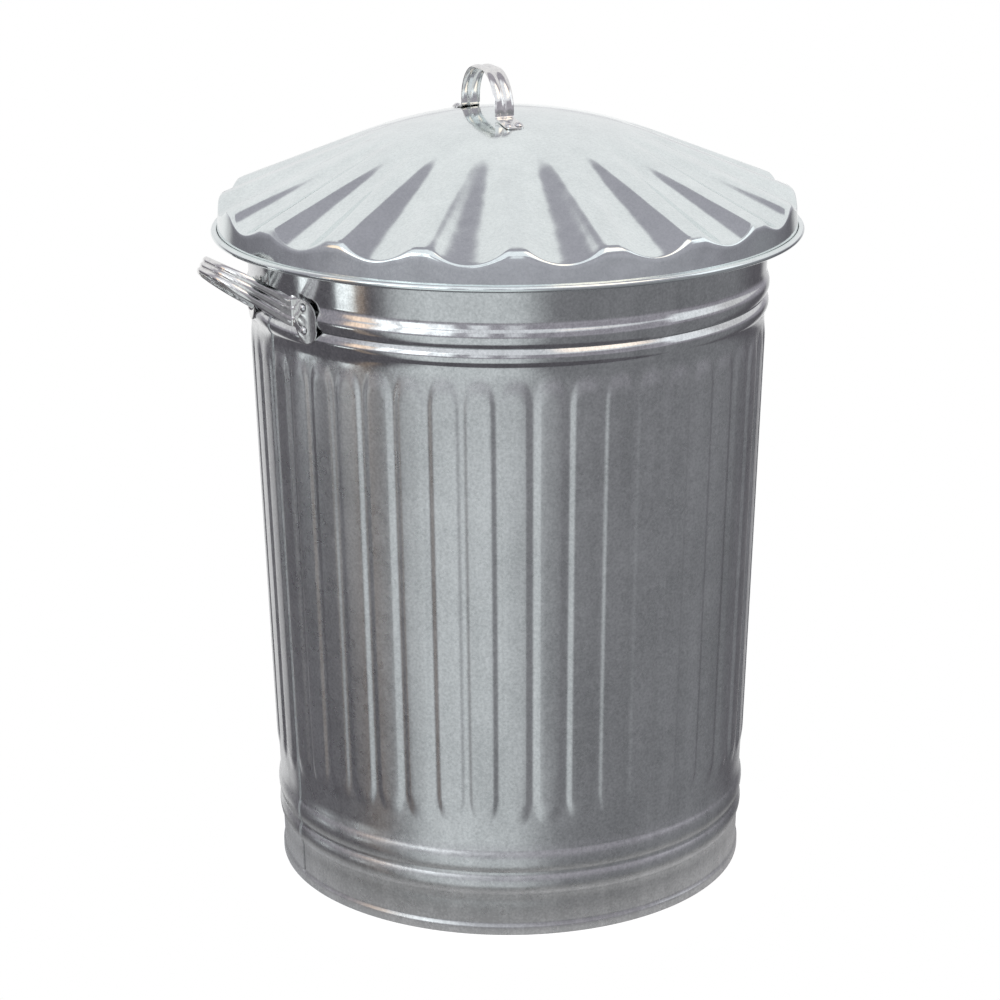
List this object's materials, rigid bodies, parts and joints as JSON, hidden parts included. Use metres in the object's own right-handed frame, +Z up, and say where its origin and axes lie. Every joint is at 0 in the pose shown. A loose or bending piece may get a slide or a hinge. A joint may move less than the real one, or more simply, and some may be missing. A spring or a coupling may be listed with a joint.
{
  "type": "trash can",
  "caption": "Round tapered sheet-steel bin with upright flutes, swaged beads and strap handles, and a lift-off domed lid with pressed flutes and a loop handle.",
  "frame": {"origin": "centre of the base, on the floor", "axes": "+Z up along the bin's axis, the side handles on -X and +X"},
  "size_m": [0.5818, 0.5156, 0.7188],
  "materials": {
    "zinc_body": "galvanized, dull mottled",
    "zinc_lid": "galvanized, half bright",
    "zinc_strap": "galvanized, bright",
    "rivet": "zinc plated",
    "wire": "drawn wire"
  },
  "bodies": {
    "bin": {"body_shell": "zinc_body", "base_pan": "zinc_body", "rim_wire": "wire", "left_handle": "zinc_strap", "left_handle_rivet_1": "rivet", "left_handle_rivet_2": "rivet", "left_handle_rivet_3": "rivet", "left_handle_rivet_4": "rivet", "right_handle": "zinc_strap", "right_handle_rivet_1": "rivet", "right_handle_rivet_2": "rivet", "right_handle_rivet_3": "rivet", "right_handle_rivet_4": "rivet"},
    "lid": {"lid_shell": "zinc_lid", "lid_hem_wire": "wire", "lid_handle": "zinc_strap", "lid_rivet_1": "rivet", "lid_rivet_2": "rivet", "lid_rivet_3": "rivet", "lid_rivet_4": "rivet"}
  },
  "joints": [
    {"name": "lid_lift", "type": "slide", "parent": "bin", "child": "lid", "axis": [0, 0, 1], "range_m": [0, 0.3]}
  ]
}
